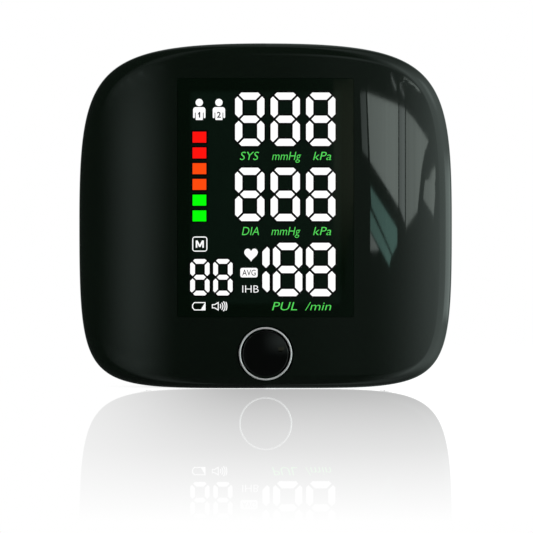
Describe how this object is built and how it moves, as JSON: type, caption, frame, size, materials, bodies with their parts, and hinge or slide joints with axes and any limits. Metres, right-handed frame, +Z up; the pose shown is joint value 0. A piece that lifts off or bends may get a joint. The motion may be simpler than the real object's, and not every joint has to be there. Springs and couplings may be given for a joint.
{
  "type": "wrist blood pressure monitor",
  "caption": "Pillow-shaped wrist blood pressure monitor with a dark glossy face, lit numerals behind it, a round start button and a fabric air cuff that closes by a hook flap.",
  "frame": {"origin": "on the surface that the monitor stands on, under the middle of its box", "axes": "+X to the reader's right, +Y away from the reader through the wrist cuff, +Z up; the display faces -Y"},
  "size_m": [0.078, 0.0818, 0.072],
  "materials": {
    "gloss_black": "polished",
    "case_black": "fine spark texture",
    "steel": "zinc plated",
    "chrome_trim": "bright plated",
    "smoked_window": "polished, smoked",
    "dark_plastic": "moulded",
    "pale_diffuser": "milky",
    "green_filter": "clear tint",
    "orange_filter": "clear tint",
    "red_filter": "clear tint",
    "board_green": "solder resist",
    "chip_black": "moulded",
    "zinc": "drawn can",
    "pale_nylon": "moulded",
    "silicone": "milky tube",
    "copper": "wound armature",
    "black_rubber": "matt",
    "cell_wrap": "shrink sleeve",
    "black_fabric": "brushed loop knit",
    "grey_lining": "plain weave",
    "hook_tape": "moulded hooks on tape",
    "bladder_skin": "welded film"
  },
  "bodies": {
    "housing": {"front_cover": "gloss_black", "rear_case": "case_black", "case_screw_1": "steel", "case_screw_2": "steel", "case_screw_3": "steel", "case_screw_4": "steel", "button_ring": "chrome_trim", "display_lens": "smoked_window", "segment_mask": "dark_plastic", "display_diffuser": "pale_diffuser", "level_filter_green": "green_filter", "level_filter_orange": "orange_filter", "level_filter_red": "red_filter", "led_board": "board_green", "display_frame": "dark_plastic", "main_board": "board_green", "board_screw_1": "steel", "board_screw_2": "steel", "board_header": "chip_black", "controller_chip": "chip_black", "tact_switch": "zinc", "air_manifold": "pale_nylon", "cuff_tube": "silicone", "valve_tube": "silicone", "sensor_tube": "silicone", "pump_tube": "silicone", "pressure_sensor": "pale_nylon", "cuff_nipple": "pale_nylon", "valve_body": "zinc", "pump_motor": "zinc", "pump_head": "dark_plastic", "swash_plate": "pale_nylon", "pump_diaphragm": "black_rubber", "pump_cap": "dark_plastic", "cell": "cell_wrap", "cell_tab_top": "steel", "cell_tab_foot": "steel", "charging_socket": "steel", "charging_board": "board_green", "speaker": "chip_black", "cuff_outer": "black_fabric", "cuff_curler": "dark_plastic", "cuff_screw_1": "steel", "cuff_screw_2": "steel", "cuff_screw_3": "steel", "cuff_screw_4": "steel", "cuff_bladder": "bladder_skin", "cuff_lining": "grey_lining", "cuff_binding_left": "black_fabric", "cuff_binding_right": "black_fabric"},
    "button": {"start_button": "gloss_black"},
    "plunger": {"switch_plunger": "pale_nylon"},
    "rotor": {"pump_rotor": "copper"},
    "valve": {"valve_plunger": "steel"},
    "wing": {"cuff_wing": "black_fabric"},
    "flap": {"cuff_flap": "black_fabric", "hook_patch": "hook_tape"}
  },
  "joints": [
    {"name": "button_press", "type": "slide", "parent": "housing", "child": "button", "axis": [0, 1, 0], "range_m": [0, 0.0008], "stiffness_N_per_m": 2000, "springref_m": -0.0005},
    {"name": "switch_press", "type": "slide", "parent": "housing", "child": "plunger", "axis": [0, 1, 0], "range_m": [0, 0.0008]},
    {"name": "rotor_spin", "type": "hinge", "parent": "housing", "child": "rotor", "pos_m": [0.0285, -0.02778, 0.025], "axis": [0, 0, 1], "continuous": true},
    {"name": "valve_stroke", "type": "slide", "parent": "housing", "child": "valve", "axis": [0, 0, -1], "range_m": [0, 0.0008], "stiffness_N_per_m": 800, "springref_m": -0.0005},
    {"name": "wing_bend", "type": "hinge", "parent": "housing", "child": "wing", "pos_m": [0, 0.02388, 0.00401], "axis": [-1, 0, 0], "range_deg": [0, 40]},
    {"name": "flap_bend", "type": "hinge", "parent": "wing", "child": "flap", "pos_m": [0, 0.04092, 0.03318], "axis": [-1, 0, 0], "range_deg": [0, 80]}
  ],
  "couplings": [
    {"joint": "switch_press", "follows": "button_press", "ratio": 1},
    {"joint": "flap_bend", "follows": "wing_bend", "ratio": 2}
  ]
}
